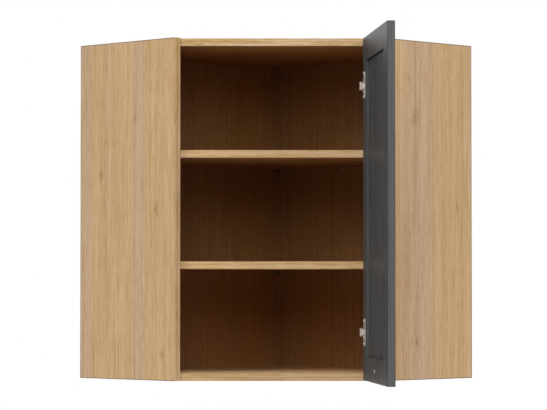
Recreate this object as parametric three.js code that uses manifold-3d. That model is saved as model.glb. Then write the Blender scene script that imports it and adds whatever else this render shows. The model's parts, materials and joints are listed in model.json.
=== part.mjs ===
// Corner wall cabinet with one framed door, in millimetres.
// The cabinet fills a square room corner. The row frame has +Z up, +X to the right and +Y from the door
// towards the corner, with its origin on the room corner's vertical line at the cabinet's underside.
// The carcass is drawn in wall coordinates: x runs along the left wall, y along the right wall, both from
// the room corner, and the whole carcass group is turned to bring the door to the front.
// The door is drawn in leaf coordinates and stands open, as it does at rest.

import * as THREE from 'three';
import { mergeVertices } from 'three/addons/utils/BufferGeometryUtils.js';
import Module from 'manifold-3d';

const wasm = await Module();
wasm.setup();

// ---------------------------------------------------------------- driving dimensions

const WALL_LENGTH = 600; // along each wall, from the room corner to a side panel's outer face
const SIDE_DEPTH = 300; // a side panel's width, from the wall to its front edge
const HEIGHT = 720;
const BOARD = 16; // side panels, top, bottom and shelves
const BACK_BOARD = 16;
const EDGE_BAND = 1;
const TOP_DROP = 1; // the top panel's face below the side panels' ends
const FRONT_SETBACK = 4.7; // top and bottom panels' front behind the side panels' inner front corners
const SHELF_SETBACK = 12; // shelves' front behind the top and bottom panels' front
const SHELF_COUNT = 2;

const GLUE_LINE = 0.3; // between pieces that are fixed face to face
const SHELF_PLAY = 1; // between a loose shelf and the boards round it
const OVERSHOOT = 1; // of a cutting shape past the surface that it opens

const DOOR_GAP = 3; // between the closed door and the top and bottom panels
const DOOR_SIDE_GAP = 2.8; // between the closed door's edge and a side panel's inner front corner
const DOOR_END_GAP = 2; // between the door's ends and the carcass's ends
const DOOR_THICKNESS = 16;
const OPEN_ANGLE = THREE.MathUtils.degToRad(94.93);
const STILE = 60;
const RAIL = 50;
const DOOR_PANEL = 5.4; // thickness of the centre panel
const TONGUE_LENGTH = 10;
const TONGUE_PLAY = 0.3;

const KNOB_HEIGHT = 24; // above the door's lower end
const KNOB_DIAMETER = 26;
const KNOB_PROJECTION = 23;
const KNOB_SCREW = { shank: 4, head: 8, headHeight: 2 };
const KNOB_THREAD = 7; // length of the screw inside the knob

const HINGE_INSET = 100; // from the door's end to the hinge's centre
const POLE_U = 5.9; // the door's turning axis, from the leaf's hinge edge
const POLE_V = 9.2; // and from its inner face
const CUP_DIAMETER = 35;
const CUP_WALL = 1;
const CUP_DEPTH = 12.2;
const CUP_EDGE = 3; // between the door's edge and the cup
const CUP_FLANGE = 1.2;
const CUP_SCREW_SPACING = 48;
const CUP_SCREW_OFFSET = 6; // of the screws from the cup's centre, away from the door's edge
const CUP_SCREW = { shank: 3.5, head: 7, headHeight: 1.6 };
const CUP_SCREW_GRIP = 11; // length of a cup screw inside the door
const CUP_RIM = 1.5; // of the flange past the cup, all round
const CUP_WING_FRONT = 5; // of the flange's wings, from the cup's centre towards the door's edge
const CUP_WING_END = 5; // of a wing past its screw
const CUP_WING_CHAMFER = 3;

const ARM_WIDTH = 17;
const ARM_METAL = 1.7;
const ARM_TOP = 16; // above the side panel's inner face
const ARM_PIVOT_REACH = 20.25; // of the arm's pivot past the side panel's front edge
const ARM_PIVOT_HEIGHT = 13; // of the arm's pivot above the side panel's inner face
const ARM_EYE = 3; // radius of the ears round the pivot
const ARM_LENGTH = 62; // from the side panel's front edge to the arm's rear end
const ARM_TAIL = 3; // slope of the arm's rear end
const NECK_DROP = 0.2; // of the neck's underside below the pivot, clear of the turning door's edge
const NECK_START = 4; // from the pivot to the neck
const NECK_END = 4; // from the neck's end to the side panel's front edge
const SKIRT_START = 8; // from the side panel's front edge to the deep part of the arm
const WEB_CLEARANCE = 0.6; // between the link's eye and the arm's web
const PIVOT_PIN = 2.5;
const PIN_PLAY = 0.3;

const LINK_PIVOT_U = 8; // the cup's axle in the leaf
const LINK_PIVOT_V = 6;
const LINK_EYE = 2.2; // radius of the link's end round the cup's axle
const LINK_ROOT_EYE = 2.5; // and round the arm's pin
const LINK_METAL = 2.2;
const LINK_BOW = 2.6; // of the link's middle, towards the cup's centre
const LINK_TIP_HEIGHT = 6;
const LINK_BROAD = 0.55; // share of the link that is as high as the arm's inside
const SLOT_BACK = 1.7; // how far the slot runs from the axle's open place towards the arm
const SLOT_PLAY = 0.45;
const CUP_AXLE = 2;

const PLATE_INSET = 37; // from the side panel's front edge to the mounting plate's screws
const PLATE_SCREW_SPACING = 32;
const PLATE_METAL = 2.5;
const PLATE_SCREW = { shank: 5, head: 8, headHeight: 2 };
const PLATE_SCREW_GRIP = 11; // length of a plate screw inside the side panel
const BOSS_FRONT = 25; // of the plate's boss, from the screws towards the door
const BOSS_REAR = 22;
const BOSS_CHAMFER = 3;
const PLATE_WING = 16; // width of the wings
const PLATE_BOSS = 12.4; // width of the boss that carries the arm

const SHELF_PIN = 5;
const SHELF_PIN_HEAD = 7;
const SHELF_PIN_DEPTH = 8;
const SHELF_PIN_REACH = 8;
const SIDE_PIN_FRONT = 60; // from a side panel's front edge
const SIDE_PIN_REAR = 60; // from the wall
const BACK_PIN_NEAR = 10; // from the cabinet's inner corner along the right back board
const BACK_PIN_FAR = 202;

const DOWEL = 8;
const DOWEL_LENGTH = 30;
const DOWEL_IN_SIDE = 10; // length of a dowel inside the side panel
const DOWEL_REAR = 60; // from the wall
const DOWEL_FRONT = 60; // from a side panel's front edge

const WALL_HOLE = 5; // screw holes beside the corner
const WALL_HOLE_OFFSET = 17.3; // from the cabinet's inner corner
const WALL_HOLE_DROP = 22; // below the top panel

const HANGER_LENGTH = 70;
const HANGER_HEIGHT = 40;
const HANGER_METAL = 2.5;
const HANGER_CORNER = 4; // radius
const HANGER_RECESS = 0.5; // of the plate behind the wall face
const HANGER_FROM_SIDE = 50; // from the side panel's inner face to the plate
const HANGER_FROM_TOP = 30; // from the cabinet's upper end to the plate
const KEYHOLE_HEAD = 6; // radius that a wall screw's head passes
const KEYHOLE_NECK = 3; // radius that holds its shank
const KEYHOLE_RISE = 12;
const KEYHOLE_POCKET = 6; // room for the screw's head behind the plate
const KEYHOLE_MARGIN = 4; // of that room round the keyhole

// ---------------------------------------------------------------- dependent dimensions

const ROOT2 = Math.SQRT2;
const SIDE_INNER = WALL_LENGTH - BOARD; // a side panel's inner face, in wall coordinates
const FRONT_Y = -(WALL_LENGTH + SIDE_DEPTH) / ROOT2; // the cabinet's front corners, in the row frame
const PANEL_FRONT_Y = FRONT_Y + BOARD / ROOT2 + FRONT_SETBACK;
const SHELF_FRONT_Y = PANEL_FRONT_Y + SHELF_SETBACK;
const TOP_Z = HEIGHT - TOP_DROP;
const BAY_HEIGHT = (TOP_Z - (2 + SHELF_COUNT) * BOARD) / (SHELF_COUNT + 1);
const SHELF_NAMES = ['lower', 'upper', 'third', 'fourth'];
const shelfBase = (index) => BOARD + BAY_HEIGHT + index * (BOARD + BAY_HEIGHT);

const OPENING_HALF = (SIDE_INNER - SIDE_DEPTH) / ROOT2; // a side panel's inner front corner, across
const DOOR_HALF = OPENING_HALF - DOOR_SIDE_GAP;
const DOOR_WIDTH = 2 * DOOR_HALF;
const DOOR_HEIGHT = HEIGHT - 2 * DOOR_END_GAP;
const DOOR_INNER_Y = PANEL_FRONT_Y - DOOR_GAP;
const POLE = new THREE.Vector2(DOOR_HALF - POLE_U, DOOR_INNER_Y - POLE_V);
const HINGE_HEIGHTS = { lower: DOOR_END_GAP + HINGE_INSET, upper: HEIGHT - DOOR_END_GAP - HINGE_INSET };
const CUP_U = CUP_EDGE + CUP_DIAMETER / 2;

// ---------------------------------------------------------------- finishes

const FINISHES = {
  oak_decor: { color: 0xc69c68, roughness: 0.55, metalness: 0 },
  oak_edging: { color: 0xd2a86f, roughness: 0.5, metalness: 0 },
  graphite: { color: 0x47484c, roughness: 0.5, metalness: 0 },
  nickel: { color: 0xc9c6c2, roughness: 0.3, metalness: 1 },
  zinc: { color: 0xb4b6b8, roughness: 0.4, metalness: 1 },
  black_metal: { color: 0x2a2b2d, roughness: 0.4, metalness: 1 },
  beech: { color: 0xcfa878, roughness: 0.7, metalness: 0 },
};

function addPiece(group, name, finish, geometry) {
  const mesh = new THREE.Mesh(geometry, new THREE.MeshStandardMaterial(FINISHES[finish]));
  mesh.name = name;
  group.add(mesh);
  return mesh;
}

// ---------------------------------------------------------------- shapes

// A box between two corners.
function box(low, high) {
  const size = high.map((value, axis) => value - low[axis]);
  const geometry = new THREE.BoxGeometry(...size);
  return geometry.translate(...low.map((value, axis) => value + size[axis] / 2));
}

// An outline drawn in plan, raised from one height to another.
function prism(outline, bottom, top) {
  const shape = outline instanceof THREE.Shape ? outline : new THREE.Shape(outline);
  const settings = { depth: top - bottom, bevelEnabled: false, curveSegments: 8 };
  return new THREE.ExtrudeGeometry(shape, settings).translate(0, 0, bottom);
}

// A turned shape: its profile is a list of [radius, height] that starts and ends on the axis.
// The axis starts at origin and points along direction.
function turned(profile, origin, direction, segments = 20) {
  const points = profile.map(([radius, height]) => new THREE.Vector2(radius, height));
  const geometry = new THREE.LatheGeometry(points, segments);
  const aim = new THREE.Vector3(...direction).normalize();
  const turn = new THREE.Quaternion().setFromUnitVectors(new THREE.Vector3(0, 1, 0), aim);
  return geometry.applyQuaternion(turn).translate(...origin);
}

function rod(radius, length, origin, direction, segments = 20) {
  return turned([[0, 0], [radius, 0], [radius, length], [0, length]], origin, direction, segments);
}

// A pan-head screw that points along direction, with its head's underside at origin.
function screw({ shank, head, headHeight }, length, origin, direction) {
  const [domeEdge, domeHeight] = [0.8 * head / 2, 0.4 * headHeight];
  const crown = [[0, -headHeight], [domeEdge, -headHeight], [head / 2, -domeHeight], [head / 2, 0]];
  const pointLength = 0.4 * shank;
  const body = [[shank / 2, 0], [shank / 2, length - pointLength], [shank / 5, length], [0, length]];
  return turned([...crown, ...body], origin, direction, 12);
}

function solid(geometry) {
  const bare = geometry.clone();
  bare.deleteAttribute('normal');
  bare.deleteAttribute('uv');
  const welded = mergeVertices(bare, 1e-4);
  const vertProperties = Float32Array.from(welded.attributes.position.array);
  const triVerts = Uint32Array.from(welded.index.array);
  return new wasm.Manifold(new wasm.Mesh({ numProp: 3, vertProperties, triVerts }));
}

function meshed(manifold) {
  const mesh = manifold.getMesh();
  const geometry = new THREE.BufferGeometry();
  geometry.setAttribute('position', new THREE.BufferAttribute(mesh.vertProperties, 3));
  geometry.setIndex(new THREE.BufferAttribute(mesh.triVerts, 1));
  geometry.computeVertexNormals();
  return geometry;
}

const cut = (base, tools) => meshed(tools.reduce((rest, tool) => rest.subtract(solid(tool)), solid(base)));
const join = (parts) => meshed(parts.slice(1).reduce((sum, part) => sum.add(solid(part)), solid(parts[0])));

// ---------------------------------------------------------------- carcass layout

// A board's outline between the side panels and the back boards, in wall coordinates. Its front is a line
// across the cabinet at frontY in the row frame, and play is its gap to the boards round it.
function pentagon(frontY, play) {
  const near = BACK_BOARD + play;
  const far = SIDE_INNER - play;
  const reach = -frontY * ROOT2 - far;
  return [[near, near], [far, near], [far, reach], [reach, far], [near, far]];
}

// The strip of edging on such a board's front.
function frontStrip(frontY, play) {
  const far = SIDE_INNER - play;
  const outer = -frontY * ROOT2 - far;
  const inner = outer - EDGE_BAND * ROOT2;
  return [[far, inner], [far, outer], [outer, far], [inner, far]];
}

const plan = (points) => points.map(([x, y]) => new THREE.Vector2(x, y));
const boardFront = (frontY) => frontY + EDGE_BAND + GLUE_LINE;
const onSidePanel = (fromFront, height) => [SIDE_DEPTH - fromFront, SIDE_INNER - height];

const carcass = new THREE.Group();
carcass.rotation.z = THREE.MathUtils.degToRad(-135);

// Dowels: two in each end of the top and bottom panels, glued half into the panel and half into the side.
const panelHeights = { top: TOP_Z - BOARD, bottom: 0 };
const dowels = [];
for (const [panel, base] of Object.entries(panelHeights)) {
  for (const side of ['left', 'right']) {
    for (const [place, distance] of [['front', SIDE_DEPTH - DOWEL_FRONT], ['rear', DOWEL_REAR]]) {
      const inPanel = SIDE_INNER - (DOWEL_LENGTH - DOWEL_IN_SIDE);
      const z = base + BOARD / 2;
      const origin = side === 'left' ? [inPanel, distance, z] : [distance, inPanel, z];
      const direction = side === 'left' ? [1, 0, 0] : [0, 1, 0];
      dowels.push({ name: `dowel_${panel}_${side}_${place}`, panel, side, origin, direction });
    }
  }
}

function dowelHole({ origin, direction }) {
  const start = origin.map((value, axis) => value - GLUE_LINE * direction[axis]);
  return rod(DOWEL / 2 + GLUE_LINE, DOWEL_LENGTH + 2 * GLUE_LINE, start, direction, 16);
}

for (const dowel of dowels) {
  const half = DOWEL / 2;
  const ends = [[0, 0], [half - 1, 0], [half, 1], [half, DOWEL_LENGTH - 1], [half - 1, DOWEL_LENGTH]];
  const profile = [...ends, [0, DOWEL_LENGTH]];
  addPiece(carcass, dowel.name, 'beech', turned(profile, dowel.origin, dowel.direction, 16));
}

// Shelf pins: where each stands, the way it points into the shelf's bay, and the board that holds it.
const sidePinFront = SIDE_DEPTH - SIDE_PIN_FRONT;
const [backPinNear, backPinFar] = [BACK_BOARD + BACK_PIN_NEAR, BACK_BOARD + BACK_PIN_FAR];
const pinPlaces = [
  { place: 'left_front', board: 'left_side', at: [SIDE_INNER, sidePinFront], into: [-1, 0, 0] },
  { place: 'left_rear', board: 'left_side', at: [SIDE_INNER, SIDE_PIN_REAR], into: [-1, 0, 0] },
  { place: 'right_front', board: 'right_side', at: [sidePinFront, SIDE_INNER], into: [0, -1, 0] },
  { place: 'back_far', board: 'right_back', at: [BACK_BOARD, backPinFar], into: [1, 0, 0] },
  { place: 'back_corner', board: 'right_back', at: [BACK_BOARD, backPinNear], into: [1, 0, 0] },
];
const shelfPins = [];
for (let index = 0; index < SHELF_COUNT; index += 1) {
  const z = shelfBase(index) - GLUE_LINE - SHELF_PIN_HEAD / 2;
  for (const { place, board, at, into } of pinPlaces) {
    const name = `${SHELF_NAMES[index]}_shelf_pin_${place}`;
    shelfPins.push({ name, board, face: [...at, z], into });
  }
}

for (const pin of shelfPins) {
  const start = pin.face.map((value, axis) => value - SHELF_PIN_DEPTH * pin.into[axis]);
  const shoulder = SHELF_PIN_DEPTH + GLUE_LINE;
  const tip = SHELF_PIN_DEPTH + SHELF_PIN_REACH;
  const shaft = [[0, 0], [SHELF_PIN / 2, 0], [SHELF_PIN / 2, shoulder]];
  const head = [[SHELF_PIN_HEAD / 2, shoulder], [SHELF_PIN_HEAD / 2, tip - 1], [SHELF_PIN_HEAD / 2 - 1, tip]];
  addPiece(carcass, pin.name, 'nickel', turned([...shaft, ...head, [0, tip]], start, pin.into, 16));
}

function pinHoles(board) {
  const depth = SHELF_PIN_DEPTH + GLUE_LINE;
  return shelfPins.filter((pin) => pin.board === board).map((pin) => {
    const start = pin.face.map((value, axis) => value - depth * pin.into[axis]);
    return rod(SHELF_PIN / 2 + GLUE_LINE, depth + OVERSHOOT, start, pin.into, 16);
  });
}

// ---------------------------------------------------------------- side panels, top, bottom and shelves

function plateScrewSpots() {
  return Object.entries(HINGE_HEIGHTS).flatMap(([level, centre]) => (
    [['top', 1], ['bottom', -1]].map(([end, sign]) => {
      const z = centre + sign * PLATE_SCREW_SPACING / 2;
      return { name: `${level}_hinge_plate_screw_${end}`, z };
    })
  ));
}

const sideDepthOfBoard = SIDE_DEPTH - EDGE_BAND - GLUE_LINE;

const plateScrewHoles = plateScrewSpots().map(({ z }) => {
  const [x, y] = onSidePanel(PLATE_INSET, OVERSHOOT);
  const depth = PLATE_SCREW_GRIP + GLUE_LINE + OVERSHOOT;
  return rod(PLATE_SCREW.shank / 2 + GLUE_LINE, depth, [x, y, z], [0, 1, 0], 16);
});

const leftSide = box([SIDE_INNER, 0, 0], [WALL_LENGTH, sideDepthOfBoard, HEIGHT]);
const leftDowelHoles = dowels.filter((dowel) => dowel.side === 'left').map(dowelHole);
const leftSideHoles = [...leftDowelHoles, ...pinHoles('left_side')];
addPiece(carcass, 'left_side_panel', 'oak_decor', cut(leftSide, leftSideHoles));

const rightSide = box([0, SIDE_INNER, 0], [sideDepthOfBoard, WALL_LENGTH, HEIGHT]);
const rightDowelHoles = dowels.filter((dowel) => dowel.side === 'right').map(dowelHole);
const rightSideHoles = [...rightDowelHoles, ...pinHoles('right_side'), ...plateScrewHoles];
addPiece(carcass, 'right_side_panel', 'oak_decor', cut(rightSide, rightSideHoles));

const leftBand = box([SIDE_INNER, SIDE_DEPTH - EDGE_BAND, 0], [WALL_LENGTH, SIDE_DEPTH, HEIGHT]);
const rightBand = box([SIDE_DEPTH - EDGE_BAND, SIDE_INNER, 0], [SIDE_DEPTH, WALL_LENGTH, HEIGHT]);
addPiece(carcass, 'left_side_edging', 'oak_edging', leftBand);
addPiece(carcass, 'right_side_edging', 'oak_edging', rightBand);

for (const [panel, base] of Object.entries(panelHeights)) {
  const outline = plan(pentagon(boardFront(PANEL_FRONT_Y), GLUE_LINE));
  const holes = dowels.filter((dowel) => dowel.panel === panel).map(dowelHole);
  const board = cut(prism(outline, base, base + BOARD), holes);
  addPiece(carcass, `${panel}_panel`, 'oak_decor', board);
  const strip = prism(plan(frontStrip(PANEL_FRONT_Y, GLUE_LINE)), base, base + BOARD);
  addPiece(carcass, `${panel}_edging`, 'oak_edging', strip);
}

for (let index = 0; index < SHELF_COUNT; index += 1) {
  const base = shelfBase(index);
  const outline = plan(pentagon(boardFront(SHELF_FRONT_Y), SHELF_PLAY));
  addPiece(carcass, `${SHELF_NAMES[index]}_shelf`, 'oak_decor', prism(outline, base, base + BOARD));
  const strip = prism(plan(frontStrip(SHELF_FRONT_Y, SHELF_PLAY)), base, base + BOARD);
  addPiece(carcass, `${SHELF_NAMES[index]}_shelf_edging`, 'oak_edging', strip);
}

// ---------------------------------------------------------------- back boards and wall hangers

// The hanger plate's outline with its keyhole, in its own plane: first axis along the wall, second up.
function hangerOutline() {
  const shape = new THREE.Shape();
  const corner = HANGER_CORNER;
  const [halfLength, halfHeight] = [HANGER_LENGTH / 2, HANGER_HEIGHT / 2];
  shape.moveTo(corner - halfLength, -halfHeight);
  shape.lineTo(halfLength - corner, -halfHeight);
  shape.absarc(halfLength - corner, corner - halfHeight, corner, -Math.PI / 2, 0);
  shape.absarc(halfLength - corner, halfHeight - corner, corner, 0, Math.PI / 2);
  shape.absarc(corner - halfLength, halfHeight - corner, corner, Math.PI / 2, Math.PI);
  shape.absarc(corner - halfLength, corner - halfHeight, corner, Math.PI, 1.5 * Math.PI);
  const keyhole = new THREE.Path();
  const neckAngle = Math.asin(KEYHOLE_NECK / KEYHOLE_HEAD);
  const base = -KEYHOLE_RISE / 2;
  keyhole.absarc(0, base, KEYHOLE_HEAD, Math.PI / 2 + neckAngle, 2.5 * Math.PI - neckAngle);
  keyhole.absarc(0, base + KEYHOLE_RISE, KEYHOLE_NECK, 0, Math.PI);
  shape.holes.push(keyhole);
  return shape;
}

const hangerCentre = SIDE_INNER - HANGER_FROM_SIDE - HANGER_LENGTH / 2;
const hangerHeight = HEIGHT - HANGER_FROM_TOP - HANGER_HEIGHT / 2;
const seatDepth = HANGER_RECESS + HANGER_METAL + GLUE_LINE;
const wallHoleHeight = TOP_Z - BOARD - WALL_HOLE_DROP;
const wallHolePlace = BACK_BOARD + WALL_HOLE_OFFSET;

// The pocket that the hanger plate sits in, and the deeper one for the wall screw's head, as extents
// along the wall, away from the wall and in height.
const headRoom = KEYHOLE_HEAD + KEYHOLE_MARGIN;
const hangerPockets = [
  [HANGER_LENGTH / 2 + GLUE_LINE, seatDepth, HANGER_HEIGHT / 2 + GLUE_LINE],
  [headRoom, seatDepth + KEYHOLE_POCKET, headRoom + KEYHOLE_RISE / 2],
];

const backBoards = {
  left: {
    body: [[0, 0, 0], [SIDE_INNER - GLUE_LINE, BACK_BOARD, HEIGHT]],
    pocket: ([along, deep, up]) => [
      [hangerCentre - along, -OVERSHOOT, hangerHeight - up], [hangerCentre + along, deep, hangerHeight + up]],
    wallHole: [[wallHolePlace, -OVERSHOOT, wallHoleHeight], [0, 1, 0]],
    axes: [new THREE.Vector3(-1, 0, 0), new THREE.Vector3(0, 0, 1), new THREE.Vector3(0, 1, 0)],
    plateOrigin: new THREE.Vector3(hangerCentre, HANGER_RECESS, hangerHeight),
    pins: [],
  },
  right: {
    body: [[0, BACK_BOARD + GLUE_LINE, 0], [BACK_BOARD, SIDE_INNER - GLUE_LINE, HEIGHT]],
    pocket: ([along, deep, up]) => [
      [-OVERSHOOT, hangerCentre - along, hangerHeight - up], [deep, hangerCentre + along, hangerHeight + up]],
    wallHole: [[-OVERSHOOT, wallHolePlace, wallHoleHeight], [1, 0, 0]],
    axes: [new THREE.Vector3(0, 1, 0), new THREE.Vector3(0, 0, 1), new THREE.Vector3(1, 0, 0)],
    plateOrigin: new THREE.Vector3(HANGER_RECESS, hangerCentre, hangerHeight),
    pins: pinHoles('right_back'),
  },
};

for (const [side, { body, pocket, wallHole, axes, plateOrigin, pins }] of Object.entries(backBoards)) {
  const pockets = hangerPockets.map((extent) => box(...pocket(extent)));
  const screwHole = rod(WALL_HOLE / 2, BACK_BOARD + 2 * OVERSHOOT, ...wallHole, 16);
  addPiece(carcass, `${side}_back_board`, 'oak_decor', cut(box(...body), [...pockets, screwHole, ...pins]));
  const plate = prism(hangerOutline(), 0, HANGER_METAL);
  plate.applyMatrix4(new THREE.Matrix4().makeBasis(...axes).setPosition(plateOrigin));
  addPiece(carcass, `${side}_hanger_plate`, 'zinc', plate);
}

// ---------------------------------------------------------------- hinge parts on the side panel

// Outlines are drawn as [distance behind the side panel's front edge, height above its inner face].
const sideView = (points) => plan(points.map(([fromFront, height]) => onSidePanel(fromFront, height)));

function arc(centre, radius, start, end, steps) {
  return Array.from({ length: steps + 1 }, (_, step) => {
    const angle = start + (end - start) * step / steps;
    return [centre[0] + radius * Math.cos(angle), centre[1] + radius * Math.sin(angle)];
  });
}

const armPivot = [-ARM_PIVOT_REACH, ARM_PIVOT_HEIGHT];
const neckUnderside = ARM_PIVOT_HEIGHT - NECK_DROP;
const skirtUnderside = 3 * GLUE_LINE + PLATE_METAL + PLATE_SCREW.headHeight;

function armOutline() {
  const nose = arc(armPivot, ARM_EYE, Math.PI / 2, 1.75 * Math.PI, 16);
  const neck = [[NECK_START - ARM_PIVOT_REACH, neckUnderside], [-NECK_END, neckUnderside]];
  const skirt = [[SKIRT_START, skirtUnderside], [ARM_LENGTH - ARM_TAIL, skirtUnderside]];
  return [...nose, ...neck, ...skirt, [ARM_LENGTH, ARM_TOP - ARM_TAIL], [ARM_LENGTH, ARM_TOP]];
}

// The arm is a folded steel channel: its web is on top, and it is open towards the side panel.
function hingeArm(centre) {
  const outer = prism(sideView(armOutline()), centre - ARM_WIDTH / 2, centre + ARM_WIDTH / 2);
  const webEnd = ARM_EYE + WEB_CLEARANCE - ARM_PIVOT_REACH;
  const webUnderside = ARM_TOP - ARM_METAL;
  const [front, rear] = [-ARM_PIVOT_REACH - ARM_EYE - OVERSHOOT, ARM_LENGTH + OVERSHOOT];
  const inside = [
    [front, 0], [rear, 0], [rear, webUnderside],
    [webEnd, webUnderside], [webEnd, ARM_TOP + OVERSHOOT], [front, ARM_TOP + OVERSHOOT]];
  const half = ARM_WIDTH / 2 - ARM_METAL;
  const channel = prism(sideView(inside), centre - half, centre + half);
  const [x, y] = onSidePanel(...armPivot);
  const eyeBase = centre - ARM_WIDTH / 2 - OVERSHOOT;
  const eye = rod(PIVOT_PIN / 2 + PIN_PLAY, ARM_WIDTH + 2 * OVERSHOOT, [x, y, eyeBase], [0, 0, 1]);
  return cut(outer, [channel, eye]);
}

function hingePlate(centre) {
  const bossTop = ARM_TOP - ARM_METAL - GLUE_LINE;
  const [bossFront, bossRear] = [PLATE_INSET - BOSS_FRONT, PLATE_INSET + BOSS_REAR];
  const shoulder = bossTop - BOSS_CHAMFER;
  const bossHalf = PLATE_BOSS / 2;
  const boss = prism(
    sideView([
      [bossFront, GLUE_LINE], [bossRear, GLUE_LINE], [bossRear, shoulder], [bossRear - BOSS_CHAMFER, bossTop],
      [bossFront + BOSS_CHAMFER, bossTop], [bossFront, shoulder]]),
    centre - bossHalf, centre + bossHalf);
  const wingHalf = PLATE_WING / 2;
  const wingEnd = PLATE_SCREW_SPACING / 2 + wingHalf;
  const [xRear, yInner] = onSidePanel(PLATE_INSET + wingHalf, GLUE_LINE);
  const [xFront, yOuter] = onSidePanel(PLATE_INSET - wingHalf, GLUE_LINE + PLATE_METAL);
  const wings = box([xRear, yOuter, centre - wingEnd], [xFront, yInner, centre + wingEnd]);
  const holes = [-1, 1].map((sign) => {
    const [x, y] = onSidePanel(PLATE_INSET, GLUE_LINE + PLATE_METAL + OVERSHOOT);
    const z = centre + sign * PLATE_SCREW_SPACING / 2;
    return rod(PLATE_SCREW.shank / 2 + GLUE_LINE, PLATE_METAL + 2 * OVERSHOOT, [x, y, z], [0, 1, 0], 16);
  });
  return cut(join([boss, wings]), holes);
}

for (const [level, centre] of Object.entries(HINGE_HEIGHTS)) {
  addPiece(carcass, `${level}_hinge_arm`, 'nickel', hingeArm(centre));
  addPiece(carcass, `${level}_hinge_mounting_plate`, 'nickel', hingePlate(centre));
  const [x, y] = onSidePanel(...armPivot);
  const pin = rod(PIVOT_PIN / 2, ARM_WIDTH, [x, y, centre - ARM_WIDTH / 2], [0, 0, 1]);
  addPiece(carcass, `${level}_hinge_pivot_pin`, 'nickel', pin);
}

for (const { name, z } of plateScrewSpots()) {
  const seat = 2 * GLUE_LINE + PLATE_METAL;
  const [x, y] = onSidePanel(PLATE_INSET, seat);
  const length = seat + PLATE_SCREW_GRIP;
  addPiece(carcass, name, 'nickel', screw(PLATE_SCREW, length, [x, y, z], [0, 1, 0]));
}

// ---------------------------------------------------------------- door

// Leaf coordinates: x from the hinge edge to the free edge, y from the inner face to the outer one,
// z up from the leaf's lower end.
const doorPivot = new THREE.Group();
doorPivot.position.set(POLE.x, POLE.y, DOOR_END_GAP);
doorPivot.rotation.z = OPEN_ANGLE;
const leaf = new THREE.Group();
leaf.position.set(POLE_U, POLE_V, 0);
leaf.rotation.z = Math.PI;
doorPivot.add(leaf);

const grooveLow = (DOOR_THICKNESS - DOOR_PANEL) / 2 - TONGUE_PLAY;
const grooveHigh = DOOR_THICKNESS - grooveLow;
const tongueLow = grooveLow + TONGUE_PLAY;
const tongueHigh = grooveHigh - TONGUE_PLAY;
const grooveDepth = TONGUE_LENGTH + TONGUE_PLAY;
const cupHeights = Object.fromEntries(
  Object.entries(HINGE_HEIGHTS).map(([level, height]) => [level, height - DOOR_END_GAP]));

const cupScrewU = CUP_U + CUP_SCREW_OFFSET;

function cupHoles(height) {
  const depth = CUP_DEPTH + GLUE_LINE + OVERSHOOT;
  const cup = rod(CUP_DIAMETER / 2 + GLUE_LINE, depth, [CUP_U, -OVERSHOOT, height], [0, 1, 0], 48);
  const screws = [-1, 1].map((sign) => {
    const z = height + sign * CUP_SCREW_SPACING / 2;
    const grip = CUP_SCREW_GRIP + GLUE_LINE + OVERSHOOT;
    return rod(CUP_SCREW.shank / 2 + GLUE_LINE, grip, [cupScrewU, -OVERSHOOT, z], [0, 1, 0], 12);
  });
  return [cup, ...screws];
}

const hingeStile = box([0, 0, 0], [STILE, DOOR_THICKNESS, DOOR_HEIGHT]);
const stileEnds = [-OVERSHOOT, DOOR_HEIGHT + OVERSHOOT];
const hingeStileGroove = box(
  [STILE - grooveDepth, grooveLow, stileEnds[0]], [STILE + OVERSHOOT, grooveHigh, stileEnds[1]]);
const hingeStileCuts = [hingeStileGroove, ...Object.values(cupHeights).flatMap(cupHoles)];
addPiece(leaf, 'door_hinge_stile', 'graphite', cut(hingeStile, hingeStileCuts));

const freeEdge = DOOR_WIDTH - STILE;
const freeStile = box([freeEdge, 0, 0], [DOOR_WIDTH, DOOR_THICKNESS, DOOR_HEIGHT]);
const freeStileGroove = box(
  [freeEdge - OVERSHOOT, grooveLow, stileEnds[0]], [freeEdge + grooveDepth, grooveHigh, stileEnds[1]]);
addPiece(leaf, 'door_free_stile', 'graphite', cut(freeStile, [freeStileGroove]));

// A rail with a tongue at each end and a groove for the centre panel along one edge.
function doorRail(bottom, top, grooveBottom, grooveTop, holes) {
  const body = box([STILE + GLUE_LINE, 0, bottom], [freeEdge - GLUE_LINE, DOOR_THICKNESS, top]);
  const [start, end] = [STILE - TONGUE_LENGTH, freeEdge + TONGUE_LENGTH];
  const tongue = box([start, tongueLow, bottom], [end, tongueHigh, top]);
  const groove = box([start - OVERSHOOT, grooveLow, grooveBottom], [end + OVERSHOOT, grooveHigh, grooveTop]);
  return cut(join([body, tongue]), [groove, ...holes]);
}

const knobU = DOOR_WIDTH / 2;
const knobHole = rod(
  KNOB_SCREW.shank / 2 + GLUE_LINE, DOOR_THICKNESS + 2 * OVERSHOOT,
  [knobU, -OVERSHOOT, KNOB_HEIGHT], [0, 1, 0], 16);
const bottomRail = doorRail(0, RAIL, RAIL - grooveDepth, RAIL + OVERSHOOT, [knobHole]);
const railBase = DOOR_HEIGHT - RAIL;
const topRail = doorRail(railBase, DOOR_HEIGHT, railBase - OVERSHOOT, railBase + grooveDepth, []);
addPiece(leaf, 'door_bottom_rail', 'graphite', bottomRail);
addPiece(leaf, 'door_top_rail', 'graphite', topRail);

const panelLow = [STILE - TONGUE_LENGTH, tongueLow, RAIL - TONGUE_LENGTH];
const panelHigh = [freeEdge + TONGUE_LENGTH, tongueHigh, railBase + TONGUE_LENGTH];
addPiece(leaf, 'door_centre_panel', 'graphite', box(panelLow, panelHigh));

// ---------------------------------------------------------------- knob

const knobRadius = KNOB_DIAMETER / 2;
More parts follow.
